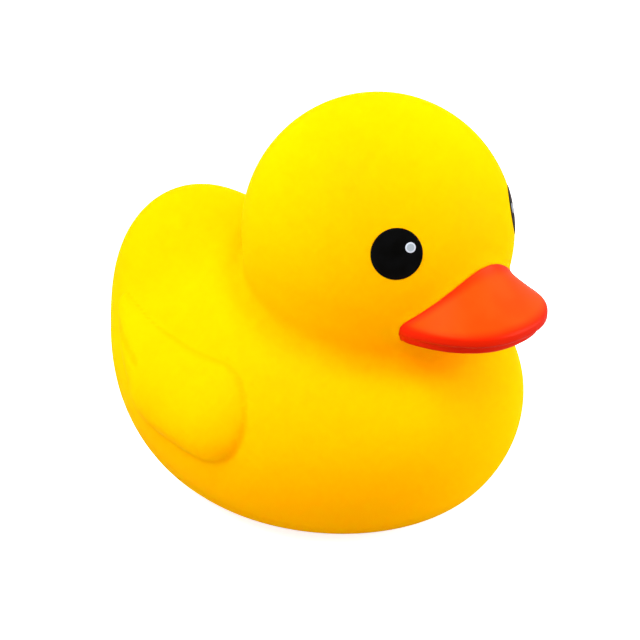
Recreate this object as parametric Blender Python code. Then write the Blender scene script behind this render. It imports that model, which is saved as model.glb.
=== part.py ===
"""Bath duck: a hollow vinyl moulding with a whistle pressed into its base.

The duck looks along -Y and stands on z = 0. Its left and right halves mirror each other across x = 0.
The vinyl's outer form is one blended solid, given as a distance that is negative inside. All sizes are in metres.
"""

import bpy
import bmesh
import numpy as np

# ---- driving dimensions -------------------------------------------------------------------------------------

WALL = 0.0024                              # thickness of the vinyl
GAP = 0.0003                               # clearance between pieces that touch

HEAD_CENTRE = (0.0, -0.0148, 0.0540)
HEAD_RADII = (0.0240, 0.0243, 0.0244)

BODY_CENTRE = (0.0, -0.0016, 0.0212)
BODY_HALF_WIDTH = 0.0346
BODY_FRONT, BODY_BACK = 0.0391, 0.0441     # reach of the body ahead of and behind its centre
BODY_TOP, BODY_BOTTOM = 0.0263, 0.0286

TAIL_CENTRE = (0.0, 0.0333, 0.0332)
TAIL_RADII = (0.0140, 0.0141, 0.0160)

NECK_BLEND = 0.0085                        # widths of the blends between the masses
TAIL_BLEND = 0.0258
BASE_BLEND = 0.0100
BASE_DROP = 0.0008                         # how far the rounded base would bulge below the standing plane

WING_HEIGHT = 0.0026                       # how far a wing stands out of the body
WING_LOBES = (                             # (y, z) and radius at the front and at the back of each lobe
    ((-0.0052, 0.0262), 0.0086, (0.0110, 0.0270), 0.0078),
    ((0.0084, 0.0272), 0.0077, (0.0304, 0.0332), 0.0018),
)
WING_MERGE, WING_EDGE = 0.30, 0.18         # softness of the lobes' join and of the wing's edge, of its height
WING_FULLNESS = 0.60                       # below 1 the wing rises steeply at its edge and is flatter on top
WING_TILT = (-12.0, -30.0)                 # how the height changes in each metre backwards and upwards

BILL_CENTRE_Y = -0.0348                    # widest place of the bill's outline
BILL_HALF_WIDTH, BILL_REACH = 0.0139, 0.0139
BILL_BACK = 0.0052                         # the outline turns in again over this length behind its widest place
BILL_SQUARENESS = 2.3                      # 2 is an ellipse; more is squarer
LIP_HEIGHT = 0.0445                        # level of the line between the two lips, at the bill's centre
LIP_SLOPE, LIP_BEND = 0.0001, -0.0007      # how that line drops towards the tip
UPPER_LIP, LOWER_LIP = 0.0013, 0.0020      # thickness of each lip
LOWER_LIP_INSET = 0.0012
INSET_GROWTH = 1.5                         # the inset grows forwards from nothing at this rate
BILL_ENDS = (-0.6, 1.1)                    # the lip line bends between these shares of the bill's reach
LIP_OVERLAP, LIP_ROUNDING, LIP_JOINT = 0.0002, 0.0006, 0.0020
RIDGE_HEIGHT = 0.0136                      # rise of the bill's roof from its rim to its middle
RIDGE_HOLLOW, RIDGE_SHARPNESS = 0.30, 0.10
RIDGE_ROUNDING = 0.0016
ROOF_SLOPE = 0.75                          # turns the roof's height difference into a distance
LOWER_ROUNDING = 0.00108                   # roundness of the lower lip's bottom edge
BILL_BLEND = 0.0026
TINY = 1e-9                                # keeps a division off zero

COARSE, FINE = 0.0044, 0.0016              # mesh spacing on the body, and around the bill
CAVITY_SPACING = 0.0048

SEAT_RADIUS, SEAT_DEPTH = 0.0090, 0.0022   # round recess in the base, where the whistle's flange lies
MOUTH_RADIUS = 0.0058                      # opening that the whistle is pressed into

FLANGE_RADIUS, FLANGE_THICKNESS = 0.0080, 0.0012
BARB_RADIUS, BARB_LENGTH = 0.0068, 0.0020
BARREL_RADIUS, BARREL_LENGTH = 0.0050, 0.0060
AIR_HOLE_RADIUS, CHAMBER_RADIUS = 0.0012, 0.0036
CHAMBER_FLOOR = 0.0016
LEDGE_HEIGHT, LEDGE_RADIUS = 0.0040, 0.0026
REED_THICKNESS = 0.0005
TONGUE_LENGTH, TONGUE_WIDTH, TONGUE_SLIT = 0.0036, 0.0016, 0.0004

ROUND_STEPS = 40


# ---- distances ----------------------------------------------------------------------------------------------

def soft_min(a, b, width):
    """The smaller of two distances, with a rounded change-over of the given width."""
    h = np.maximum(width - np.abs(a - b), 0.0) / width
    return np.minimum(a, b) - h ** 3 * width / 6.0


def soft_max(a, b, width):
    return -soft_min(-a, -b, width)


def oval(offset, radii):
    """Distance to an ellipse or ellipsoid, from offsets to its centre."""
    near = np.linalg.norm(offset / radii, axis=-1) + TINY
    slope = np.linalg.norm(offset / radii ** 2, axis=-1) + TINY
    return near * (near - 1.0) / slope


def ellipsoid(p, centre, radii):
    return oval(p - np.array(centre), np.array(radii))


def body(p):
    """Egg shape whose reach differs in front and behind, above and below."""
    offset = p - np.array(BODY_CENTRE)
    ahead = np.array([BODY_HALF_WIDTH, BODY_BACK, BODY_TOP])
    behind = np.array([BODY_HALF_WIDTH, BODY_FRONT, BODY_BOTTOM])
    return oval(offset, np.where(offset > 0.0, ahead, behind))


def lobe(side, start, start_radius, end, end_radius):
    """Dome over a tapered strip in the side view: 1 on its middle line, 0 at its edge."""
    start, end = np.array(start), np.array(end)
    along = np.clip((side - start) @ (end - start) / ((end - start) @ (end - start)), 0.0, 1.0)
    off_line = np.linalg.norm(side - start - along[..., None] * (end - start), axis=-1)
    return 1.0 - (off_line / (start_radius + (end_radius - start_radius) * along)) ** 2


def wing(p):
    """How far the wing lifts the body's side at each point."""
    side = p[..., 1:]
    front, rear = (lobe(side, *shape) for shape in WING_LOBES)
    dome = soft_max(soft_max(front, rear, WING_MERGE), 0.0, WING_EDGE) ** WING_FULLNESS
    stand = np.maximum(1.0 + (side - np.array(WING_LOBES[0][0])) @ np.array(WING_TILT), 0.0)
    return WING_HEIGHT * stand * dome


def blank(p, with_wings):
    """Head, body and tail, blended, with the base still round below the standing plane."""
    torso = soft_min(body(p), ellipsoid(p, TAIL_CENTRE, TAIL_RADII), TAIL_BLEND)
    if with_wings:
        torso = torso - wing(p)
    whole = soft_min(torso, ellipsoid(p, HEAD_CENTRE, HEAD_RADII), NECK_BLEND)
    return soft_max(whole, -BASE_DROP - p[..., 2], BASE_BLEND)


def bill_plan(across, forward):
    """Distance to the bill's outline seen from above, and how far out a point is: 0 in the middle, 1 at the rim."""
    radii = np.stack([np.full_like(forward, BILL_HALF_WIDTH), np.where(forward > 0.0, BILL_REACH, BILL_BACK)], -1)
    ratio = np.abs(np.stack([across, forward], -1)) / radii + TINY
    near = np.sum(ratio ** BILL_SQUARENESS, -1) ** (1.0 / BILL_SQUARENESS)
    slope = np.linalg.norm(ratio ** (BILL_SQUARENESS - 1.0) / radii, axis=-1) + TINY
    return (near - 1.0) * near ** (BILL_SQUARENESS - 1.0) / slope, near


def bill(p):
    """Two lips with a shallow line between them. The upper one rises in a ridge towards the face."""
    across, forward, up = p[..., 0], BILL_CENTRE_Y - p[..., 1], p[..., 2]
    outline, near = bill_plan(across, forward)
    reach = np.clip(forward / BILL_REACH, *BILL_ENDS)
    over_line = up - LIP_HEIGHT - LIP_SLOPE * reach - LIP_BEND * reach ** 2
    flank = (np.hypot(across, RIDGE_ROUNDING) - RIDGE_ROUNDING) / BILL_HALF_WIDTH
    rise = (1.0 - near) * (1.0 - RIDGE_HOLLOW * np.maximum(reach, 0.0)) * (1.0 - RIDGE_SHARPNESS * flank)
    roof = ROOF_SLOPE * (over_line - UPPER_LIP - RIDGE_HEIGHT * rise)
    upper = soft_max(soft_max(outline, roof, LIP_ROUNDING), -over_line - LIP_OVERLAP, LIP_ROUNDING)
    lower = outline + LOWER_LIP_INSET * np.clip(INSET_GROWTH * reach, 0.0, 1.0)
    lower = soft_max(lower, -over_line - LOWER_LIP, LOWER_ROUNDING)
    lower = soft_max(lower, over_line - LIP_OVERLAP, LIP_ROUNDING)
    return soft_min(upper, lower, LIP_JOINT)


def outside(p):
    return soft_min(blank(p, True), bill(p), BILL_BLEND)


def inside(p):
    return blank(p, False) + WALL


# ---- meshes -------------------------------------------------------------------------------------------------

def spaced(low, high, fine_low, fine_high):
    """Grid positions from low to high, closer together between the two fine limits."""
    stops = [(low, fine_low, COARSE), (fine_low, fine_high, FINE), (fine_high, high, COARSE)]
    runs = [np.linspace(a, b, max(2, round((b - a) / step) + 1)) for a, b, step in stops if b > a]
    return np.unique(np.round(np.concatenate(runs), 7))


def skin(distance, axes):
    """Closed quad mesh where the distance is zero: one point in each grid cell that the surface crosses."""
    grid = np.stack(np.meshgrid(*axes, indexing="ij"), -1)
    value = distance(grid)
    cells = tuple(n - 1 for n in value.shape)
    total, hits, edges = np.zeros(cells + (3,)), np.zeros(cells), []
    for axis in range(3):
        a = np.argwhere(np.diff(value < 0.0, axis=axis))
        b = a + np.eye(3, dtype=int)[axis]
        at_a, at_b = value[tuple(a.T)], value[tuple(b.T)]
        along = (at_a / (at_a - at_b))[:, None]
        crossing = grid[tuple(a.T)] * (1.0 - along) + grid[tuple(b.T)] * along
        side, other = np.eye(3, dtype=int)[[(axis + 1) % 3, (axis + 2) % 3]]
        ring = [a - side - other, a - other, a, a - side]
        for cell in ring:
            np.add.at(total, tuple(cell.T), crossing)
            np.add.at(hits, tuple(cell.T), 1.0)
        edges.append((ring, at_a < 0.0))
    number = np.full(cells, -1)
    used = hits > 0
    number[used] = np.arange(used.sum())
    points = total[used] / hits[used][:, None]
    faces = []
    for ring, outward in edges:
        quads = np.stack([number[tuple(cell.T)] for cell in ring], -1)
        faces += [quads[outward], quads[~outward][:, ::-1]]
    return points, np.concatenate(faces)


def ring_axes(spacing, margin=0.004):
    """Even grid positions around the whole duck, the same to the left and to the right."""
    limits = ((-0.042, 0.042), (-0.055, 0.055), (-0.003, 0.083))
    return [np.arange(low - margin, high + margin + spacing, spacing) if low > -high
            else np.linspace(low, high, round((high - low) / spacing) + 1) for low, high in limits]


# ---- objects ------------------------------------------------------------------------------------------------

def material(name, color, roughness):
    made = bpy.data.materials.new(name)
    made.use_nodes = True
    shader = made.node_tree.nodes["Principled BSDF"]
    shader.inputs["Base Color"].default_value = (*color, 1.0)
    shader.inputs["Roughness"].default_value = roughness
    shader.inputs["Metallic"].default_value = 0.0
    return made


def add_object(name, mesh, finish=None):
    made = bpy.data.objects.new(name, mesh)
    bpy.context.collection.objects.link(made)
    if finish:
        mesh.materials.append(finish)
    mesh.shade_smooth()
    mesh.set_sharp_from_angle(angle=np.radians(35.0))
    return made


def add_cutter(name, mesh):
    made = add_object(name, mesh)
    made.hide_render = True
    made.display_type = "WIRE"
    return made


def cut(target, cutter):
    boolean = target.modifiers.new(cutter.name, "BOOLEAN")
    boolean.operation = "DIFFERENCE"
    boolean.solver = "EXACT"
    boolean.object = cutter


def mesh_from(name, points, faces):
    mesh = bpy.data.meshes.new(name)
    mesh.from_pydata([tuple(point) for point in points], [], [tuple(map(int, face)) for face in faces])
    return mesh


def turned(name, profile):
    """Solid of revolution about the whistle's axis. The profile is a closed loop of (radius, height)."""
    turns = np.arange(ROUND_STEPS) * 2.0 * np.pi / ROUND_STEPS
    points = [(r * np.cos(t), r * np.sin(t), z) for t in turns for r, z in profile]
    n = len(profile)
    faces = []
    for i in range(ROUND_STEPS):
        here, there = i * n, (i + 1) % ROUND_STEPS * n
        faces += [(here + j, there + j, there + (j + 1) % n, here + (j + 1) % n) for j in range(n)]
    return mesh_from(name, points, faces)


def disc(name, radius, low, high):
    """Plain upright cylinder on the whistle's axis."""
    turns = np.arange(ROUND_STEPS) * 2.0 * np.pi / ROUND_STEPS
    rim = [(radius * np.cos(t), radius * np.sin(t)) for t in turns]
    n = ROUND_STEPS
    sides = [(i, (i + 1) % n, n + (i + 1) % n, n + i) for i in range(n)]
    caps = [tuple(range(n))[::-1], tuple(range(n, 2 * n))]
    return mesh_from(name, [(x, y, low) for x, y in rim] + [(x, y, high) for x, y in rim], sides + caps)


def add_shell():
    """The vinyl moulding: outer skin, hollow inside, and a stepped seat for the whistle in a flat base."""
    bx, by, bz = BILL_HALF_WIDTH, BILL_CENTRE_Y, LIP_HEIGHT
    axes = (spaced(-0.0430, 0.0430, -bx, bx),
            spaced(-0.0500, 0.0520, -0.0500, by),
            spaced(-0.0040, 0.0820, bz - 0.0045, bz + 0.0125))
    mesh = mesh_from("duck_shell", *skin(outside, axes))
    form = bmesh.new()
    form.from_mesh(mesh)
    whole = form.verts[:] + form.edges[:] + form.faces[:]
    sliced = bmesh.ops.bisect_plane(form, geom=whole, plane_co=(0, 0, 0), plane_no=(0, 0, 1), clear_inner=True)
    rim = [item for item in sliced["geom_cut"] if isinstance(item, bmesh.types.BMEdge)]
    bmesh.ops.contextual_create(form, geom=rim)
    bmesh.ops.recalc_face_normals(form, faces=form.faces)
    form.to_mesh(mesh)
    form.free()
    shell = add_object("duck_shell", mesh, material("yellow vinyl", (1.0, 0.72, 0.0), 0.55))

    cavity = add_cutter("cavity", mesh_from("cavity", *skin(inside, ring_axes(CAVITY_SPACING))))
    boss = add_cutter("seat_boss", disc("seat_boss", SEAT_RADIUS + WALL, -0.01, SEAT_DEPTH + WALL))
    seat = add_cutter("seat", disc("seat", SEAT_RADIUS, -0.01, SEAT_DEPTH))
    mouth = add_cutter("mouth", disc("mouth", MOUTH_RADIUS, -0.01, SEAT_DEPTH + 3.0 * WALL))
    cut(cavity, boss)
    for cutter in (cavity, seat, mouth):
        cut(shell, cutter)


def add_squeaker_body():
    """Hard whistle cup: flange in the seat, neck in the opening, barb behind the wall and a barrel above."""
    neck = MOUTH_RADIUS - GAP
    flange_top = SEAT_DEPTH - GAP
    flange_low = flange_top - FLANGE_THICKNESS
    barb_low = SEAT_DEPTH + WALL + GAP
    barb_top = barb_low + BARB_LENGTH
    top = barb_top + BARREL_LENGTH
    floor = flange_low + CHAMBER_FLOOR
    ledge = barb_top + LEDGE_HEIGHT
    profile = [(AIR_HOLE_RADIUS, flange_low), (FLANGE_RADIUS, flange_low), (FLANGE_RADIUS, flange_top),
               (neck, flange_top), (neck, barb_low), (BARB_RADIUS, barb_low), (BARREL_RADIUS, barb_top),
               (BARREL_RADIUS, top), (CHAMBER_RADIUS, top), (CHAMBER_RADIUS, ledge), (LEDGE_RADIUS, ledge),
               (LEDGE_RADIUS, floor), (AIR_HOLE_RADIUS, floor)]
    mesh = turned("squeaker_body", profile)
    add_object("squeaker_body", mesh, material("natural plastic", (0.86, 0.85, 0.80), 0.35))
    return ledge


def add_squeaker_reed(ledge):
    """Round plate on the cup's ledge, with a tongue freed by a slit on three sides."""
    low = ledge + GAP
    plate = add_object("squeaker_reed", disc("squeaker_reed", CHAMBER_RADIUS - GAP, low, low + REED_THICKNESS),
                       material("reed plastic", (0.70, 0.16, 0.12), 0.30))
    half, end, slit = TONGUE_WIDTH / 2.0, TONGUE_LENGTH / 2.0, TONGUE_SLIT
    outline = [(-half - slit, -end), (-half, -end), (-half, end - slit), (half, end - slit), (half, -end),
               (half + slit, -end), (half + slit, end), (-half - slit, end)]
    n = len(outline)
    levels = (low - 0.001, low + REED_THICKNESS + 0.001)
    points = [(x, y, z) for z in levels for x, y in outline]
    sides = [(i, (i + 1) % n, n + (i + 1) % n, n + i) for i in range(n)]
    slot = mesh_from("reed_slit", points, sides + [tuple(range(n))[::-1], tuple(range(n, 2 * n))])
    cut(plate, add_cutter("reed_slit", slot))


for old in list(bpy.data.objects):
    bpy.data.objects.remove(old, do_unlink=True)

add_shell()
add_squeaker_reed(add_squeaker_body())
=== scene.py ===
"""A yellow bath duck of soft vinyl with an orange painted bill, on a pale studio floor.

The duck looks along -Y and stands on z = 0. Lengths are in metres.
"""

from math import cos, radians, sin

import bpy
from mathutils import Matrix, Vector


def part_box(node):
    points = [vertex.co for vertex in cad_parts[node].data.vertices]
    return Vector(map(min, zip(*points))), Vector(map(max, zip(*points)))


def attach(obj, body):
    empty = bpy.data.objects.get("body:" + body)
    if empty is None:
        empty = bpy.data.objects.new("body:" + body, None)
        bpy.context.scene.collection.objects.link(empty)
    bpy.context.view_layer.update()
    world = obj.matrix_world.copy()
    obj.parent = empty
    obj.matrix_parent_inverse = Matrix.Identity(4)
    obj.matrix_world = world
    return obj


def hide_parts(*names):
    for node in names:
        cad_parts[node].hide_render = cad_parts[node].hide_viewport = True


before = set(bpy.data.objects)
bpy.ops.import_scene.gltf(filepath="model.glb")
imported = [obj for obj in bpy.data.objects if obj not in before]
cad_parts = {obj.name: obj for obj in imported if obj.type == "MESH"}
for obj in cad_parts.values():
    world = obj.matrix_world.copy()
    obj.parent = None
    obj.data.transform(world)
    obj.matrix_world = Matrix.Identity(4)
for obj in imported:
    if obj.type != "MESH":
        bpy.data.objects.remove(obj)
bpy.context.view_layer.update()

low, high = (Vector(corner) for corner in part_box("duck_shell"))


# ---- Camera and studio -----------------------------------------------------------------------------------
# A long lens looks slightly down at the duck's right front quarter. The floor is a pale sweep. Four large
# soft boxes and a bright surround light the duck evenly, so that the vinyl shows hardly any hard shadow.

CAMERA_TURN = radians(-45.6)
CAMERA_RISE = radians(23.46)
CAMERA_DISTANCE = 0.3535
CAMERA_TARGET = Vector((0.0, -0.0005, 0.0323))
CAMERA_LENS = 106.7
CAMERA_SENSOR = 36.0
CAMERA_NEAREST = 0.01
FLOOR_SIZE = 6.0
FLOOR_SEEN = (0.95, 0.95, 0.95, 1.0)
FLOOR_BOUNCE = (0.49, 0.385, 0.36, 1.0)
FLOOR_GLOW = 0.75
SURROUND_COLOUR = (1.0, 1.0, 1.0, 1.0)
SURROUND_LIGHT = 0.45
SURROUND_SEEN = 1.0
SOFT_BOXES = (
    # turn and rise in degrees, distance, width and height, power in watts
    ("key_box", -92.0, 60.0, 0.90, 0.60, 0.60, 11.0),
    ("right_box", 40.0, 15.0, 0.90, 0.60, 0.60, 7.5),
    ("left_box", -105.0, 12.0, 0.90, 0.60, 0.60, 1.7),
    ("front_box", -42.0, 28.0, 0.90, 0.60, 0.60, 1.2),
)


def add_aimed(name, data, turn, rise, distance):
    """Camera or light that looks at the duck. Turn 0 is straight ahead of it; the rise is above the floor."""
    made = bpy.data.objects.new(name, data)
    bpy.context.collection.objects.link(made)
    away = Vector((sin(turn) * cos(rise), -cos(turn) * cos(rise), sin(rise)))
    made.location = CAMERA_TARGET + away * distance
    made.rotation_euler = (CAMERA_TARGET - made.location).to_track_quat("-Z", "Y").to_euler()
    return made


def add_camera():
    data = bpy.data.cameras.new("camera")
    data.lens = CAMERA_LENS
    data.sensor_width = CAMERA_SENSOR
    data.clip_start = CAMERA_NEAREST
    bpy.context.scene.camera = add_aimed("camera", data, CAMERA_TURN, CAMERA_RISE, CAMERA_DISTANCE)


def add_soft_box(name, turn, rise, distance, width, height, power):
    data = bpy.data.lights.new(name, "AREA")
    data.shape = "RECTANGLE"
    data.size, data.size_y, data.energy = width, height, power
    add_aimed(name, data, radians(turn), radians(rise), distance)


def add_floor():
    """White paper, brighter to the camera than as a light, so that the duck's shadow on it stays faint."""
    half = FLOOR_SIZE / 2.0
    corners = [(-half, -half, 0), (half, -half, 0), (half, half, 0), (-half, half, 0)]
    mesh = bpy.data.meshes.new("floor")
    mesh.from_pydata(corners, [], [(0, 1, 2, 3)])
    floor = bpy.data.objects.new("floor", mesh)
    bpy.context.collection.objects.link(floor)
    paper = bpy.data.materials.new("white paper sweep")
    paper.use_nodes = True
    shader = paper.node_tree.nodes["Principled BSDF"]
    shader.inputs["Roughness"].default_value = 0.9
    shader.inputs["Specular IOR Level"].default_value = 0.1
    seen = paper.node_tree.nodes.new("ShaderNodeLightPath").outputs["Is Camera Ray"]
    tone = paper.node_tree.nodes.new("ShaderNodeMix")
    tone.data_type = "RGBA"
    tone.inputs[6].default_value = FLOOR_BOUNCE
    tone.inputs[7].default_value = FLOOR_SEEN
    glow = paper.node_tree.nodes.new("ShaderNodeMath")
    glow.operation = "MULTIPLY"
    glow.inputs[1].default_value = FLOOR_GLOW
    paper.node_tree.links.new(seen, glow.inputs[0])
    paper.node_tree.links.new(glow.outputs[0], shader.inputs["Emission Strength"])
    shader.inputs["Emission Color"].default_value = (1.0, 1.0, 1.0, 1.0)
    paper.node_tree.links.new(seen, tone.inputs[0])
    paper.node_tree.links.new(tone.outputs[2], shader.inputs["Base Color"])
    mesh.materials.append(paper)


def add_surround():
    """Even white surround, brighter where it is seen behind the floor than as a light."""
    world = bpy.data.worlds.new("bright surround")
    world.use_nodes = True
    surround = world.node_tree.nodes["Background"]
    surround.inputs["Color"].default_value = SURROUND_COLOUR
    strength = world.node_tree.nodes.new("ShaderNodeMapRange")
    strength.inputs["To Min"].default_value = SURROUND_LIGHT
    strength.inputs["To Max"].default_value = SURROUND_SEEN
    seen = world.node_tree.nodes.new("ShaderNodeLightPath").outputs["Is Camera Ray"]
    world.node_tree.links.new(seen, strength.inputs["Value"])
    world.node_tree.links.new(strength.outputs["Result"], surround.inputs["Strength"])
    bpy.context.scene.world = world


add_camera()
add_floor()
for box in SOFT_BOXES:
    add_soft_box(*box)

add_surround()
bpy.context.scene.view_settings.view_transform = "Standard"


# ---- Vinyl duck ------------------------------------------------------------------------------------------
# One hollow moulding of soft vinyl: head, egg-shaped body, upturned tail, two low wings and the bill, blended.
# Its form is a distance, negative inside, that geometry nodes work out in every cell of a grid before they
# draw the skin where it is zero. A round seat in the base holds the whistle.

DUCK = {
    "Wall": 0.0024,
    "Head Centre": (0.0, -0.0148, 0.0540),
    "Head Radii": (0.0240, 0.0243, 0.0244),
    "Body Centre": (0.0, -0.0016, 0.0212),
    "Body Back Radii": (0.0346, 0.0441, 0.0263),
    "Body Front Radii": (0.0346, 0.0391, 0.0286),
    "Tail Centre": (0.0, 0.0333, 0.0332),
    "Tail Radii": (0.0140, 0.0141, 0.0160),
    "Neck Blend": 0.0085,
    "Tail Blend": 0.0258,
    "Base Blend": 0.0100,
    "Base Drop": 0.0008,
    "Wing Height": 0.0026,
    "Wing Merge": 0.30,
    "Wing Edge": 0.18,
    "Wing Fullness": 0.60,
    "Wing Tilt": (0.0, -12.0, -30.0),
    "Wing Line Depth": 0.00018,
    "Wing Line Width": 0.16,
    "Front Lobe Start": (0.0, -0.0052, 0.0262),
    "Front Lobe End": (0.0, 0.0110, 0.0270),
    "Front Lobe Radii": (0.0086, 0.0078, 0.0),
    "Rear Lobe Start": (0.0, 0.0084, 0.0272),
    "Rear Lobe End": (0.0, 0.0304, 0.0332),
    "Rear Lobe Radii": (0.0077, 0.0018, 0.0),
    "Feather Line Start": (0.0, 0.0292, 0.0314),
    "Feather Line End": (0.0, 0.0145, 0.0293),
    "Feather Line Radii": (0.0010, 0.0008, 0.0),
    "Feather Line Depth": 0.00022,
    "Bill Centre": (0.0, -0.0348, 0.0445),
    "Bill Radii": (0.0139, 0.0139, 0.0052),
    "Bill Squareness": 2.3,
    "Lip Slope": 0.0001,
    "Lip Bend": -0.0007,
    "Upper Lip": 0.0013,
    "Lower Lip": 0.0020,
    "Lower Lip Inset": 0.0012,
    "Inset Growth": 1.5,
    "Lip Overlap": 0.0002,
    "Lip Rounding": 0.0006,
    "Lip Joint": 0.0020,
    "Ridge Height": 0.0136,
    "Ridge Hollow": 0.30,
    "Ridge Sharpness": 0.10,
    "Ridge Rounding": 0.0016,
    "Roof Slope": 0.75,
    "Lower Rounding": 0.00108,
    "Bill Blend": 0.0026,
    "Seat Radius": 0.0090,
    "Seat Depth": 0.0022,
    "Mouth Radius": 0.0058,
}
SKIN = {
    "Low": tuple(corner - 0.003 for corner in low),
    "High": tuple(corner + 0.003 for corner in high),
    "Cell": 0.0008,
    "Paint Room": 0.00035,
    "Mouth Depth": 0.012,
    "Boss Blend": 0.001,
    "Rim Rounding": 0.0006,
    "Fold Reach": 0.0055,
    "Crest Depth": 0.0015,
    "Root Width": 0.0020,
}
BILL_ENDS = (-0.6, 1.1)
PAINT_FADE = 0.5
TINY = 1e-9
TINY_SLOPE = 1e-6
VINYL_YELLOW = (1.0, 0.44, 0.0, 1.0)
VINYL_PALE = (1.0, 0.455, 0.0, 1.0)
# painted shade colour for the vinyl's folds and the wing's lines
VINYL_SHADE_ORANGE = (0.96, 0.26, 0.0, 1.0)


def put(tree, socket, value):
    """Feeds a node's input from another node's output, or sets it to a plain value."""
    if isinstance(value, bpy.types.NodeSocket):
        tree.links.new(value, socket)
    else:
        socket.default_value = value


def calc(tree, operation, *values):
    """A Math node; returns its output."""
    node = tree.nodes.new("ShaderNodeMath")
    node.operation = operation
    for socket, value in zip(node.inputs, values):
        put(tree, socket, value)
    return node.outputs[0]


def vector(tree, operation, *values):
    """A Vector Math node; returns the vector, or the number where the operation gives one."""
    node = tree.nodes.new("ShaderNodeVectorMath")
    node.operation = operation
    for socket, value in zip(node.inputs, values):
        put(tree, socket, value)
    return node.outputs["Value" if operation in ("LENGTH", "DISTANCE", "DOT_PRODUCT") else "Vector"]


def clamped(tree, value, lowest=0.0, highest=1.0):
    return calc(tree, "MINIMUM", calc(tree, "MAXIMUM", value, lowest), highest)


def scaled_by(tree, value, factor):
    node = tree.nodes.new("ShaderNodeVectorMath")
    node.operation = "SCALE"
    put(tree, node.inputs[0], value)
    put(tree, node.inputs["Scale"], factor)
    return node.outputs[0]


def split(tree, value):
    node = tree.nodes.new("ShaderNodeSeparateXYZ")
    put(tree, node.inputs[0], value)
    return node.outputs[0], node.outputs[1], node.outputs[2]


def join(tree, x, y, z):
    node = tree.nodes.new("ShaderNodeCombineXYZ")
    for socket, value in zip(node.inputs, (x, y, z)):
        put(tree, socket, value)
    return node.outputs[0]


def add_sizes(tree, sizes):
    """Named inputs of a tree, one for each size: a vector where the size has three numbers."""
    for name, value in sizes.items():
        kind = "NodeSocketVector" if isinstance(value, tuple) else "NodeSocketFloat"
        tree.interface.new_socket(name, in_out="INPUT", socket_type=kind).default_value = value


def new_tree(name, sizes):
    """A geometry tree with those inputs and one geometry output."""
    tree = bpy.data.node_groups.new(name, "GeometryNodeTree")
    add_sizes(tree, sizes)
    tree.interface.new_socket("Geometry", in_out="OUTPUT", socket_type="NodeSocketGeometry")
    return tree, tree.nodes.new("NodeGroupInput").outputs, tree.nodes.new("NodeGroupOutput")


def ellipsoid(tree, place, centre, radii):
    """Distance to an ellipsoid, exact near its surface."""
    scaled = vector(tree, "DIVIDE", vector(tree, "SUBTRACT", place, centre), radii)
    near = vector(tree, "LENGTH", scaled)
    slope = vector(tree, "LENGTH", vector(tree, "DIVIDE", scaled, radii))
    return calc(tree, "DIVIDE", calc(tree, "MULTIPLY", near, calc(tree, "SUBTRACT", near, 1.0)), slope)


def egg(tree, place, centre, back_radii, front_radii):
    """An ellipsoid whose radii differ on the two sides of its centre."""
    offset = vector(tree, "SUBTRACT", place, centre)
    behind = vector(tree, "DIVIDE", vector(tree, "MAXIMUM", offset, (0, 0, 0)), back_radii)
    ahead = vector(tree, "DIVIDE", vector(tree, "MINIMUM", offset, (0, 0, 0)), front_radii)
    near = vector(tree, "LENGTH", vector(tree, "ADD", behind, ahead))
    steep_behind = vector(tree, "DIVIDE", behind, back_radii)
    steep_ahead = vector(tree, "DIVIDE", ahead, front_radii)
    slope = vector(tree, "LENGTH", vector(tree, "ADD", steep_behind, steep_ahead))
    return calc(tree, "DIVIDE", calc(tree, "MULTIPLY", near, calc(tree, "SUBTRACT", near, 1.0)), slope)


def lobe(tree, side, start, end, radii):
    """Dome over a tapered strip in the side view: 1 on its middle line, 0 at its edge."""
    span = vector(tree, "SUBTRACT", end, start)
    offset = vector(tree, "SUBTRACT", side, start)
    along = calc(tree, "DIVIDE", vector(tree, "DOT_PRODUCT", offset, span),
                 vector(tree, "DOT_PRODUCT", span, span))
    along = clamped(tree, along)
    off_line = vector(tree, "LENGTH", vector(tree, "SUBTRACT", offset, scaled_by(tree, span, along)))
    first, last, _ = split(tree, radii)
    radius = calc(tree, "ADD", first, calc(tree, "MULTIPLY", calc(tree, "SUBTRACT", last, first), along))
    ratio = calc(tree, "DIVIDE", off_line, radius)
    return calc(tree, "SUBTRACT", 1.0, calc(tree, "MULTIPLY", ratio, ratio))


def bill_plan(tree, size, across, forward):
    """Distance to the bill's outline from above, and how far out a place is, from 0 to 1 at the rim."""
    half_width, front, back = split(tree, size["Bill Radii"])
    ahead = calc(tree, "GREATER_THAN", forward, 0.0)
    long_radius = calc(tree, "ADD", back, calc(tree, "MULTIPLY", ahead, calc(tree, "SUBTRACT", front, back)))
    power = size["Bill Squareness"]
    lower_power = calc(tree, "SUBTRACT", power, 1.0)
    near, slope = TINY, 0.0
    for offset, radius in ((across, half_width), (forward, long_radius)):
        ratio = calc(tree, "DIVIDE", calc(tree, "ABSOLUTE", offset), radius)
        near = calc(tree, "ADD", calc(tree, "POWER", ratio, power), near)
        part = calc(tree, "DIVIDE", calc(tree, "POWER", ratio, lower_power), radius)
        slope = calc(tree, "ADD", calc(tree, "MULTIPLY", part, part), slope)
    near = calc(tree, "POWER", near, calc(tree, "DIVIDE", 1.0, power))
    steep = calc(tree, "MULTIPLY", calc(tree, "SUBTRACT", near, 1.0), calc(tree, "POWER", near, lower_power))
    return calc(tree, "DIVIDE", steep, calc(tree, "ADD", calc(tree, "SQRT", slope), TINY_SLOPE)), near


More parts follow.
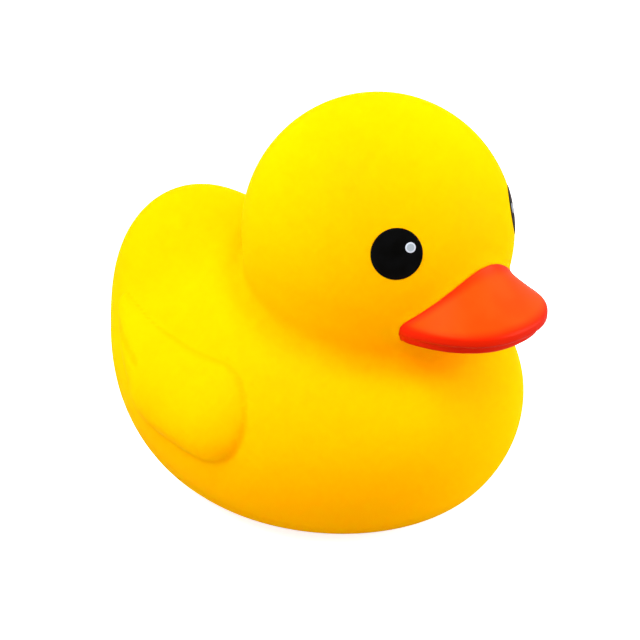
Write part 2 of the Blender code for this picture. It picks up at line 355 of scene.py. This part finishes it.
def bill_distance(tree, size, place):
    """Two lips with a shallow line between them. The upper one rises in a ridge towards the face."""
    x, y, z = split(tree, place)
    _, centre_y, centre_z = split(tree, size["Bill Centre"])
    half_width, front, _ = split(tree, size["Bill Radii"])
    forward = calc(tree, "SUBTRACT", centre_y, y)
    outline, near = bill_plan(tree, size, x, forward)
    reach = clamped(tree, calc(tree, "DIVIDE", forward, front), *BILL_ENDS)
    bend = calc(tree, "ADD", size["Lip Slope"], calc(tree, "MULTIPLY", size["Lip Bend"], reach))
    over_line = calc(tree, "SUBTRACT", z, calc(tree, "ADD", centre_z, calc(tree, "MULTIPLY", bend, reach)))
    rounding = size["Ridge Rounding"]
    across = calc(tree, "SUBTRACT", vector(tree, "LENGTH", join(tree, x, rounding, 0.0)), rounding)
    flank = calc(tree, "MULTIPLY", size["Ridge Sharpness"], calc(tree, "DIVIDE", across, half_width))
    hollow = calc(tree, "MULTIPLY", size["Ridge Hollow"], calc(tree, "MAXIMUM", reach, 0.0))
    rise = calc(tree, "MULTIPLY", calc(tree, "SUBTRACT", 1.0, near), calc(tree, "SUBTRACT", 1.0, hollow))
    rise = calc(tree, "MULTIPLY", rise, calc(tree, "SUBTRACT", 1.0, flank))
    roof = calc(tree, "ADD", size["Upper Lip"], calc(tree, "MULTIPLY", size["Ridge Height"], rise))
    roof = calc(tree, "MULTIPLY", calc(tree, "SUBTRACT", over_line, roof), size["Roof Slope"])
    soft = size["Lip Rounding"]
    upper = calc(tree, "SMOOTH_MAX", outline, roof, soft)
    below = calc(tree, "SUBTRACT", calc(tree, "MULTIPLY", over_line, -1.0), size["Lip Overlap"])
    upper = calc(tree, "SMOOTH_MAX", upper, below, soft)
    inset = clamped(tree, calc(tree, "MULTIPLY", reach, size["Inset Growth"]))
    lower_outline = calc(tree, "ADD", outline, calc(tree, "MULTIPLY", size["Lower Lip Inset"], inset))
    under = calc(tree, "SUBTRACT", calc(tree, "MULTIPLY", over_line, -1.0), size["Lower Lip"])
    lower = calc(tree, "SMOOTH_MAX", lower_outline, under, size["Lower Rounding"])
    above = calc(tree, "SUBTRACT", over_line, size["Lip Overlap"])
    lower = calc(tree, "SMOOTH_MAX", lower, above, soft)
    return calc(tree, "SMOOTH_MIN", upper, lower, size["Lip Joint"])


def wing_relief(tree, size, place):
    """How far the wing lifts the body's side, and how deep the lines round it and on its feathers are."""
    side = vector(tree, "MULTIPLY", place, (0, 1, 1))
    front = lobe(tree, side, *(size["Front Lobe " + part] for part in ("Start", "End", "Radii")))
    rear = lobe(tree, side, *(size["Rear Lobe " + part] for part in ("Start", "End", "Radii")))
    edge = calc(tree, "SMOOTH_MAX", front, rear, size["Wing Merge"])
    dome = calc(tree, "POWER", calc(tree, "SMOOTH_MAX", edge, 0.0, size["Wing Edge"]), size["Wing Fullness"])
    offset = vector(tree, "SUBTRACT", side, size["Front Lobe Start"])
    stand = calc(tree, "ADD", 1.0, vector(tree, "DOT_PRODUCT", offset, size["Wing Tilt"]))
    stand = calc(tree, "MULTIPLY", calc(tree, "MAXIMUM", stand, 0.0), size["Wing Height"])
    outline = calc(tree, "DIVIDE", calc(tree, "ABSOLUTE", edge), size["Wing Line Width"])
    outline = calc(tree, "MAXIMUM", calc(tree, "SUBTRACT", 1.0, outline), 0.0)
    outline = calc(tree, "MULTIPLY", outline, size["Wing Line Depth"])
    feather = lobe(tree, side, *(size["Feather Line " + part] for part in ("Start", "End", "Radii")))
    feather = calc(tree, "MULTIPLY", calc(tree, "MAXIMUM", feather, 0.0), size["Feather Line Depth"])
    lines = calc(tree, "ADD", outline, feather)
    return calc(tree, "SUBTRACT", calc(tree, "MULTIPLY", stand, dome), lines), lines


def blank_distance(tree, size, place, relief=None):
    """Head, body and tail, blended, with the base still round below the standing plane."""
    body = egg(tree, place, size["Body Centre"], size["Body Back Radii"], size["Body Front Radii"])
    tail = ellipsoid(tree, place, size["Tail Centre"], size["Tail Radii"])
    torso = calc(tree, "SMOOTH_MIN", body, tail, size["Tail Blend"])
    if relief:
        torso = calc(tree, "SUBTRACT", torso, relief)
    head = ellipsoid(tree, place, size["Head Centre"], size["Head Radii"])
    whole = calc(tree, "SMOOTH_MIN", torso, head, size["Neck Blend"])
    _, _, z = split(tree, place)
    under = calc(tree, "SUBTRACT", calc(tree, "MULTIPLY", z, -1.0), size["Base Drop"])
    return calc(tree, "SMOOTH_MAX", whole, under, size["Base Blend"])


def form_group():
    """Node group that gives the moulding's distances at a place, from the duck's named sizes."""
    tree = bpy.data.node_groups.new("duck form", "GeometryNodeTree")
    tree.interface.new_socket("Place", in_out="INPUT", socket_type="NodeSocketVector")
    add_sizes(tree, DUCK)
    for name in ("Outside", "Blank", "Bill", "Hollow", "Line"):
        tree.interface.new_socket(name, in_out="OUTPUT", socket_type="NodeSocketFloat")
    size = tree.nodes.new("NodeGroupInput").outputs
    ends = tree.nodes.new("NodeGroupOutput").inputs
    place = size["Place"]
    relief, lines = wing_relief(tree, size, place)
    blank = blank_distance(tree, size, place, relief)
    bill = bill_distance(tree, size, place)
    tree.links.new(calc(tree, "SMOOTH_MIN", blank, bill, size["Bill Blend"]), ends["Outside"])
    tree.links.new(blank, ends["Blank"])
    tree.links.new(bill, ends["Bill"])
    tree.links.new(calc(tree, "ADD", blank_distance(tree, size, place), size["Wall"]), ends["Hollow"])
    tree.links.new(calc(tree, "DIVIDE", lines, size["Wing Line Depth"]), ends["Line"])
    return tree


def form_at(tree, size, place):
    """The duck form group at a place, with its sizes passed on; returns its outputs."""
    node = tree.nodes.new("GeometryNodeGroup")
    node.node_tree = bpy.data.node_groups["duck form"]
    for name in DUCK:
        tree.links.new(size[name], node.inputs[name])
    put(tree, node.inputs["Place"], place)
    return node.outputs


def grid_mesh(tree, distance, size):
    """Mesh where the distance is zero, inside the box from Low to High, with cells of about the size Cell."""
    cube = tree.nodes.new("GeometryNodeVolumeCube")
    tree.links.new(calc(tree, "MULTIPLY", distance, -1.0), cube.inputs["Density"])
    cube.inputs["Background"].default_value = -1.0
    extent = vector(tree, "SUBTRACT", size["High"], size["Low"])
    for axis, count in zip("XYZ", split(tree, vector(tree, "DIVIDE", extent, size["Cell"]))):
        tree.links.new(calc(tree, "ROUND", count), cube.inputs["Resolution " + axis])
    tree.links.new(size["Low"], cube.inputs["Min"])
    tree.links.new(size["High"], cube.inputs["Max"])
    mesher = tree.nodes.new("GeometryNodeVolumeToMesh")
    mesher.inputs["Threshold"].default_value = 0.0
    tree.links.new(cube.outputs["Volume"], mesher.inputs["Volume"])
    return mesher.outputs["Mesh"]


def move(tree, mesh, offset, selection=None):
    node = tree.nodes.new("GeometryNodeSetPosition")
    tree.links.new(mesh, node.inputs["Geometry"])
    tree.links.new(offset, node.inputs["Offset"])
    if selection:
        tree.links.new(selection, node.inputs["Selection"])
    return node.outputs["Geometry"]


def with_attribute(tree, mesh, name, value):
    """The mesh with a number stored on every point under that name."""
    node = tree.nodes.new("GeometryNodeStoreNamedAttribute")
    node.data_type = "FLOAT"
    node.domain = "POINT"
    node.inputs["Name"].default_value = name
    tree.links.new(mesh, node.inputs["Geometry"])
    tree.links.new(value, node.inputs["Value"])
    return node.outputs["Geometry"]


def with_relief(tree, size, mesh, walls="Outside"):
    """Stores four masks on the mesh: Fold grows where walls of the moulding close in, Crest on sharp edges,
    Root on the bill towards the face, and Line marks the lines of the wing. The walls can leave out the bill.
    """
    # The materials paint shade from Fold, Root and Line, and a highlight on sharp edges from Crest.
    place = tree.nodes.new("GeometryNodeInputPosition").outputs[0]
    normal = tree.nodes.new("GeometryNodeInputNormal").outputs[0]
    inwards = calc(tree, "MULTIPLY", size["Crest Depth"], -1.0)
    for name, step in (("Fold", size["Fold Reach"]), ("Crest", inwards)):
        there = form_at(tree, size, vector(tree, "ADD", place, scaled_by(tree, normal, step)))[walls]
        value = clamped(tree, calc(tree, "SUBTRACT", 1.0, calc(tree, "DIVIDE", there, step)))
        mesh = with_attribute(tree, mesh, name, value)
    here = form_at(tree, size, place)
    root = clamped(tree, calc(tree, "SUBTRACT", 1.0, calc(tree, "DIVIDE", here["Blank"], size["Root Width"])))
    return with_attribute(tree, with_attribute(tree, mesh, "Root", root), "Line", here["Line"])


def finish_tree(tree, end, mesh, material):
    """Smooth shading, Realize Instances and Set Material at the end of a tree."""
    smooth = tree.nodes.new("GeometryNodeSetShadeSmooth")
    real = tree.nodes.new("GeometryNodeRealizeInstances")
    coat = tree.nodes.new("GeometryNodeSetMaterial")
    coat.inputs["Material"].default_value = material
    tree.links.new(mesh, smooth.inputs["Geometry"])
    tree.links.new(smooth.outputs["Geometry"], real.inputs["Geometry"])
    tree.links.new(real.outputs["Geometry"], coat.inputs["Geometry"])
    tree.links.new(coat.outputs["Geometry"], end.inputs["Geometry"])


def grow(name, tree, sizes):
    """Runs a tree with those sizes on an empty mesh, and keeps the result as a plain mesh object."""
    piece = bpy.data.objects.new(name, bpy.data.meshes.new(name))
    bpy.context.collection.objects.link(piece)
    nodes = piece.modifiers.new("shape", "NODES")
    nodes.node_group = tree
    for socket in tree.interface.items_tree:
        if socket.in_out == "INPUT" and socket.name in sizes:
            nodes[socket.identifier] = sizes[socket.name]
    shaped = piece.evaluated_get(bpy.context.evaluated_depsgraph_get())
    mesh = bpy.data.meshes.new_from_object(shaped)
    piece.modifiers.clear()
    piece.data = mesh
    mesh.name = name
    return piece


def mixed(tree, factor, first, second):
    """Mix of two colours."""
    node = tree.nodes.new("ShaderNodeMix")
    node.data_type = "RGBA"
    put(tree, node.inputs[0], factor)
    put(tree, node.inputs[6], first)
    put(tree, node.inputs[7], second)
    return node.outputs[2]


def ramp(tree, value, low, high, to_low, to_high):
    """Maps a range of a value smoothly onto another."""
    node = tree.nodes.new("ShaderNodeMapRange")
    node.interpolation_type = "SMOOTHSTEP"
    for socket, number in zip(node.inputs, (value, low, high, to_low, to_high)):
        put(tree, socket, number)
    return node.outputs["Result"]


def stored(tree, name):
    node = tree.nodes.new("ShaderNodeAttribute")
    node.attribute_name = name
    return node.outputs["Fac"]


def surface_group():
    """Shader group for a moulded or painted skin: mottling, uneven gloss and a fine orange-peel normal."""
    tree = bpy.data.node_groups.new("moulded skin", "ShaderNodeTree")
    for name, kind, value in (("Mottle Scale", "Float", 40.0), ("Peel Scale", "Float", 1500.0),
                              ("Peel Height", "Float", 0.00001), ("Roughness Low", "Float", 0.4),
                              ("Roughness High", "Float", 0.5)):
        tree.interface.new_socket(name, in_out="INPUT", socket_type="NodeSocket" + kind).default_value = value
    tree.interface.new_socket("Mottle", in_out="OUTPUT", socket_type="NodeSocketFloat")
    tree.interface.new_socket("Roughness", in_out="OUTPUT", socket_type="NodeSocketFloat")
    tree.interface.new_socket("Normal", in_out="OUTPUT", socket_type="NodeSocketVector")
    inside = tree.nodes.new("NodeGroupInput").outputs
    ends = tree.nodes.new("NodeGroupOutput").inputs
    place = tree.nodes.new("ShaderNodeTexCoord").outputs["Object"]

    def textured(scale, detail):
        node = tree.nodes.new("ShaderNodeTexNoise")
        node.inputs["Detail"].default_value = detail
        tree.links.new(place, node.inputs["Vector"])
        tree.links.new(scale, node.inputs["Scale"])
        return node.outputs["Fac"]

    mottle = ramp(tree, textured(inside["Mottle Scale"], 3.0), 0.3, 0.7, 0.0, 1.0)
    tree.links.new(mottle, ends["Mottle"])
    gloss = ramp(tree, mottle, 0.0, 1.0, inside["Roughness Low"], inside["Roughness High"])
    tree.links.new(gloss, ends["Roughness"])
    peel = tree.nodes.new("ShaderNodeBump")
    tree.links.new(textured(inside["Peel Scale"], 2.0), peel.inputs["Height"])
    tree.links.new(inside["Peel Height"], peel.inputs["Distance"])
    tree.links.new(peel.outputs["Normal"], ends["Normal"])
    return tree


def new_material(name, **values):
    """Material with the group's roughness and normal on it; values go to the group. Returns its parts too."""
    made = bpy.data.materials.new(name)
    made.use_nodes = True
    tree = made.node_tree
    shader = tree.nodes["Principled BSDF"]
    group = tree.nodes.new("ShaderNodeGroup")
    group.node_tree = bpy.data.node_groups["moulded skin"]
    for socket, value in values.items():
        group.inputs[socket.replace("_", " ").title()].default_value = value
    tree.links.new(group.outputs["Roughness"], shader.inputs["Roughness"])
    tree.links.new(group.outputs["Normal"], shader.inputs["Normal"])
    return made, tree, shader, group.outputs["Mottle"]


def vinyl_material():
    """Matte yellow vinyl, coloured right through, into which light seeps. Shade is painted into its folds and
    into the lines of the wings as a deeper orange.
    """
    made, tree, shader, mottle = new_material("yellow vinyl", mottle_scale=45.0, peel_scale=1800.0,
                                              peel_height=0.000012, roughness_low=0.46, roughness_high=0.54)
    plain = mixed(tree, mottle, VINYL_YELLOW, VINYL_PALE)
    # painted shade: deeper orange where the moulding folds in and in the grooves of the wing's lines
    deep = calc(tree, "ADD", ramp(tree, stored(tree, "Fold"), 0.06, 0.50, 0.0, 1.0),
                ramp(tree, stored(tree, "Line"), 0.2, 1.0, 0.0, 0.25))
    tree.links.new(mixed(tree, deep, plain, VINYL_SHADE_ORANGE), shader.inputs["Base Color"])
    shader.inputs["Specular IOR Level"].default_value = 0.003
    shader.inputs["Subsurface Weight"].default_value = 1.0
    shader.inputs["Subsurface Radius"].default_value = (1.0, 0.5, 0.05)
    shader.inputs["Subsurface Scale"].default_value = 0.0015
    return made


def skin_tree(material):
    """The whole moulding: outer skin, hollow, seat and mouth."""
    tree, size, end = new_tree("duck skin", {**DUCK, **SKIN})
    place = tree.nodes.new("GeometryNodeInputPosition").outputs[0]

    def wall_distance(at):
        form = form_at(tree, size, at)
        outside, hollow = form["Outside"], form["Hollow"]
        radial = vector(tree, "LENGTH", vector(tree, "MULTIPLY", at, (1, 1, 0)))
        _, _, z = split(tree, at)
        seat = calc(tree, "MAXIMUM", calc(tree, "SUBTRACT", radial, size["Seat Radius"]),
                    calc(tree, "SUBTRACT", z, size["Seat Depth"]))
        boss = calc(tree, "SUBTRACT", seat, size["Wall"])
        hollow = calc(tree, "SMOOTH_MAX", hollow, calc(tree, "MULTIPLY", boss, -1.0), size["Boss Blend"])
        mouth = calc(tree, "MAXIMUM", calc(tree, "SUBTRACT", radial, size["Mouth Radius"]),
                     calc(tree, "SUBTRACT", z, size["Mouth Depth"]))
        painted = calc(tree, "MULTIPLY", calc(tree, "SUBTRACT", form["Blank"], form["Bill"]), PAINT_FADE)
        painted = clamped(tree, painted, 0.0, size["Paint Room"])
        outside = calc(tree, "ADD", outside, painted)
        outside = calc(tree, "MAXIMUM", outside, calc(tree, "MULTIPLY", z, -1.0))
        for opening in (hollow, seat, mouth):
            inverse = calc(tree, "MULTIPLY", opening, -1.0)
            outside = calc(tree, "SMOOTH_MAX", outside, inverse, size["Rim Rounding"])
        return outside

    mesh = grid_mesh(tree, wall_distance(place), size)
    normal = tree.nodes.new("GeometryNodeInputNormal").outputs[0]
    mesh = move(tree, mesh, scaled_by(tree, normal, calc(tree, "MULTIPLY", wall_distance(place), -1.0)))
    finish_tree(tree, end, with_relief(tree, size, mesh, "Blank"), material)
    return tree


form_group()
surface_group()
duck_skin = grow("duck_skin", skin_tree(vinyl_material()), {**DUCK, **SKIN})
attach(duck_skin, "root")
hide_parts("duck_shell")


# ---- Bill paint ------------------------------------------------------------------------------------------
# The bill is the same vinyl as the rest, sprayed with satin orange paint through a mask. The coat is a thin
# closed film that follows the moulding and ends in a slightly ragged edge where the bill meets the face.

PAINT = {
    "Low": (-0.0185, -0.0530, 0.0380),
    "High": (0.0185, -0.0270, 0.0600),
    "Cell": 0.00026,
    "Lift": 0.00002,
    "Thickness": 0.00006,
    "Creep": -0.00030,
    "Ragged": 0.00010,
    "Ragged Scale": 900.0,
    "Fold Reach": 0.0022,
    "Crest Depth": 0.0008,
    "Root Width": 0.0028,
}
NUDGE = 0.00002
EDGE_PASSES = 3
WELD = 0.000002
BILL_ORANGE = (0.84, 0.050, 0.002, 1.0)
BILL_BRIGHT = (0.90, 0.060, 0.003, 1.0)
# painted highlight colour for the rim's sharp edges
BILL_EDGE_HIGHLIGHT = (0.95, 0.110, 0.010, 1.0)
# painted shade colour, then the heights below which it covers the lips and over which it fades at the root
BILL_SHADE_RED = (0.60, 0.012, 0.001, 1.0)
LOWER_LIP_SHADE = (0.0452, 0.0466)
ROOT_SHADE_TOP = (0.0500, 0.0560)


def film_tree(name, sizes, edge, material):
    """Thin film on the moulding wherever edge(tree, size, place) is negative."""
    tree, size, end = new_tree(name, {**DUCK, **sizes})
    place = tree.nodes.new("GeometryNodeInputPosition").outputs[0]
    normal = tree.nodes.new("GeometryNodeInputNormal").outputs[0]

    def settled(mesh):
        depth = form_at(tree, size, place)["Outside"]
        return move(tree, mesh, scaled_by(tree, normal, calc(tree, "MULTIPLY", depth, -1.0)))

    mesh = settled(settled(grid_mesh(tree, form_at(tree, size, place)["Outside"], size)))
    depth = calc(tree, "ABSOLUTE", form_at(tree, size, place)["Outside"])
    outside = calc(tree, "MAXIMUM", edge(tree, size, place), calc(tree, "SUBTRACT", depth, size["Cell"]))
    crop = tree.nodes.new("GeometryNodeDeleteGeometry")
    crop.domain = "FACE"
    tree.links.new(mesh, crop.inputs["Geometry"])
    tree.links.new(calc(tree, "GREATER_THAN", outside, 0.0), crop.inputs["Selection"])
    mesh = crop.outputs["Geometry"]

    beside = tree.nodes.new("GeometryNodeInputMeshEdgeNeighbors").outputs[0]
    rim = tree.nodes.new("GeometryNodeFieldOnDomain")
    rim.domain = "EDGE"
    rim.data_type = "FLOAT"
    tree.links.new(calc(tree, "LESS_THAN", beside, 1.5), rim.inputs[0])
    on_rim = calc(tree, "GREATER_THAN", rim.outputs[0], 0.0)
    for _ in range(EDGE_PASSES):
        here = edge(tree, size, place)
        steps = [calc(tree, "SUBTRACT", edge(tree, size, vector(tree, "ADD", place, step)), here)
                 for step in ((NUDGE, 0, 0), (0, NUDGE, 0), (0, 0, NUDGE))]
        slope = scaled_by(tree, join(tree, *steps), 1.0 / NUDGE)
        steepness = vector(tree, "DOT_PRODUCT", slope, slope)
        pull = calc(tree, "MULTIPLY", calc(tree, "DIVIDE", here, steepness), -1.0)
        mesh = settled(move(tree, mesh, scaled_by(tree, slope, pull), on_rim))

    base = move(tree, mesh, scaled_by(tree, normal, size["Lift"]))
    coat = tree.nodes.new("GeometryNodeExtrudeMesh")
    coat.mode = "FACES"
    coat.inputs["Individual"].default_value = False
    tree.links.new(base, coat.inputs["Mesh"])
    tree.links.new(normal, coat.inputs["Offset"])
    tree.links.new(size["Thickness"], coat.inputs["Offset Scale"])
    flipped = tree.nodes.new("GeometryNodeFlipFaces")
    tree.links.new(base, flipped.inputs["Mesh"])
    both = tree.nodes.new("GeometryNodeJoinGeometry")
    tree.links.new(flipped.outputs["Mesh"], both.inputs["Geometry"])
    tree.links.new(coat.outputs["Mesh"], both.inputs["Geometry"])
    weld = tree.nodes.new("GeometryNodeMergeByDistance")
    tree.links.new(both.outputs["Geometry"], weld.inputs["Geometry"])
    weld.inputs["Distance"].default_value = WELD
    finish_tree(tree, end, with_relief(tree, size, weld.outputs["Geometry"]), material)
    return tree


def bill_edge(tree, size, place):
    """Negative where the bill stands out of the face, with a little noise for the sprayed edge."""
    form = form_at(tree, size, place)
    noise = tree.nodes.new("ShaderNodeTexNoise")
    tree.links.new(place, noise.inputs["Vector"])
    tree.links.new(size["Ragged Scale"], noise.inputs["Scale"])
    wander = calc(tree, "MULTIPLY", calc(tree, "SUBTRACT", noise.outputs["Fac"], 0.5), size["Ragged"])
    ahead = calc(tree, "SUBTRACT", form["Bill"], form["Blank"])
    return calc(tree, "ADD", calc(tree, "SUBTRACT", ahead, size["Creep"]), wander)


def bill_material():
    """Satin orange paint, with a painted highlight on the rim's sharp edges and painted shade in a deeper red
    on the lower band of the lips, in the folds and along the face, weaker near the top of the face.
    """
    made, tree, shader, mottle = new_material("orange bill paint", mottle_scale=160.0, peel_scale=2600.0,
                                              peel_height=0.000006, roughness_low=0.34, roughness_high=0.44)
    z = split(tree, tree.nodes.new("ShaderNodeTexCoord").outputs["Object"])[2]
    coat = mixed(tree, mottle, BILL_ORANGE, BILL_BRIGHT)
    # painted highlight on sharp convex edges of the rim
    coat = mixed(tree, ramp(tree, stored(tree, "Crest"), 0.15, 0.60, 0.0, 0.5), coat, BILL_EDGE_HIGHLIGHT)
    # painted shade along the face, weaker towards the top
    root = ramp(tree, stored(tree, "Root"), 0.20, 0.75, 0.0, 1.0)
    root = calc(tree, "MULTIPLY", root, ramp(tree, z, *ROOT_SHADE_TOP, 0.85, 0.35))
    coat = mixed(tree, root, coat, BILL_SHADE_RED)
    # painted shade in the folds
    coat = mixed(tree, ramp(tree, stored(tree, "Fold"), 0.10, 0.60, 0.0, 0.9), coat, BILL_SHADE_RED)
    # painted shade on the lower band of the lips, below a height
    coat = mixed(tree, ramp(tree, z, *LOWER_LIP_SHADE, 1.0, 0.0), coat, BILL_SHADE_RED)
    tree.links.new(coat, shader.inputs["Base Color"])
    shader.inputs["Specular IOR Level"].default_value = 0.08
    shader.inputs["Specular Tint"].default_value = (1.0, 0.45, 0.15, 1.0)
    return made


bill_tree = film_tree("bill paint", PAINT, bill_edge, bill_material())
bill_paint = grow("bill_paint", bill_tree, {**DUCK, **PAINT})
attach(bill_paint, "root")


# ---- Eyes ------------------------------------------------------------------------------------------------
# Each eye is a round spot of black paint printed on the head, with a small pale dot printed over it towards
# the front and the top.

EYE_RADIUS = 0.00436
EYE_PLACE = Vector((0.01515, -0.03305, 0.05866))
DOT_RADIUS = 0.00088
RING_START, RING_FULL = 0.65, 0.85
DOT_PLACE = Vector((0.01322, -0.03428, 0.05966))
EYE_LIFT, DOT_LIFT = 0.00002, 0.00007
EYE_CELL, DOT_CELL = 0.00022, 0.00008
SPOT_MARGIN = 4
SPOT = {
    "Low": (0.0, 0.0, 0.0),
    "High": (0.0, 0.0, 0.0),
    "Cell": 0.00022,
    "Lift": 0.00002,
    "Thickness": 0.00005,
    "Spot Centre": (0.0, 0.0, 0.0),
    "Spot Radius": 0.001,
    "Fold Reach": 0.0022,
    "Crest Depth": 0.0008,
    "Root Width": 0.0020,
}
EYE_BLACK = (0.0010, 0.0010, 0.0008, 1.0)
EYE_FADED = (0.0020, 0.0022, 0.0024, 1.0)
DOT_GREY = (0.28, 0.33, 0.37, 1.0)
DOT_PALE = (0.2968, 0.3498, 0.3922, 1.0)
DOT_RIM = (0.50, 0.55, 0.62, 1.0)


def spot_edge(tree, size, place):
    """Negative inside the round spot."""
    return calc(tree, "SUBTRACT", vector(tree, "DISTANCE", place, size["Spot Centre"]), size["Spot Radius"])


def add_spot(name, tree, centre, radius, lift, cell):
    """Printed round film of that radius on the skin; it takes the slot's finish from its caller."""
    reach = Vector((1, 1, 1)) * (radius + SPOT_MARGIN * cell)
    sizes = {**DUCK, **SPOT, "Spot Centre": centre, "Spot Radius": radius, "Lift": lift, "Cell": cell,
             "Low": centre - reach, "High": centre + reach}
    spot = grow(name, tree, sizes)
    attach(spot, "root")
    return spot


def eye_material():
    made, tree, shader, mottle = new_material("black eye paint", mottle_scale=300.0, peel_scale=3000.0,
                                              peel_height=0.000004, roughness_low=0.30, roughness_high=0.40)
    tree.links.new(mixed(tree, mottle, EYE_BLACK, EYE_FADED), shader.inputs["Base Color"])
    shader.inputs["Specular IOR Level"].default_value = 0.02
    return made


def dot_material():
    """Pale grey-blue print, thicker and lighter in a ring at its edge."""
    made, tree, shader, mottle = new_material("pale eye dot", mottle_scale=900.0, peel_scale=4000.0,
                                              peel_height=0.000003, roughness_low=0.40, roughness_high=0.50)
    place = tree.nodes.new("ShaderNodeTexCoord").outputs["Object"]
    off_centre = vector(tree, "DISTANCE", vector(tree, "ABSOLUTE", place), tuple(abs(at) for at in DOT_PLACE))
    ring = ramp(tree, off_centre, RING_START * DOT_RADIUS, RING_FULL * DOT_RADIUS, 0.0, 1.0)
    centre = mixed(tree, mottle, DOT_GREY, DOT_PALE)
    tree.links.new(mixed(tree, ring, centre, DOT_RIM), shader.inputs["Base Color"])
    shader.inputs["Specular IOR Level"].default_value = 0.05
    return made


eye_tree = film_tree("eye paint", SPOT, spot_edge, eye_material())
dot_tree = film_tree("eye dot", SPOT, spot_edge, dot_material())
for side, name in ((-1, "right"), (1, "left")):
    mirror = Vector((side, 1, 1))
    eye = add_spot("eye_paint_" + name, eye_tree, EYE_PLACE * mirror, EYE_RADIUS, EYE_LIFT, EYE_CELL)
    dot = add_spot("eye_dot_" + name, dot_tree, DOT_PLACE * mirror, DOT_RADIUS, DOT_LIFT, DOT_CELL)


# ---- Whistle ---------------------------------------------------------------------------------------------
# A cup of natural hard plastic is pressed into the base, with a thin red reed plate inside it. Both are plain
# injection mouldings, satin with a faint uneven gloss.

PLASTICS = {
    # node, main colour, colour of the mottled places, roughness low and high, peel height
    "squeaker_body": ((0.72, 0.70, 0.62, 1.0), (0.64, 0.61, 0.53, 1.0), 0.30, 0.46, 0.000010),
    "squeaker_reed": ((0.45, 0.022, 0.012, 1.0), (0.36, 0.016, 0.010, 1.0), 0.26, 0.40, 0.000005),
}


def hard_plastic(name, plain, mottled, gloss_low, gloss_high, peel):
    made, tree, shader, mottle = new_material(name, mottle_scale=260.0, peel_scale=2200.0, peel_height=peel,
                                              roughness_low=gloss_low, roughness_high=gloss_high)
    tree.links.new(mixed(tree, mottle, plain, mottled), shader.inputs["Base Color"])
    shader.inputs["Specular IOR Level"].default_value = 0.35
    return made


for node, finish in PLASTICS.items():
    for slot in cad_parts[node].material_slots:
        slot.material = hard_plastic(node.replace("_", " ") + " plastic", *finish)
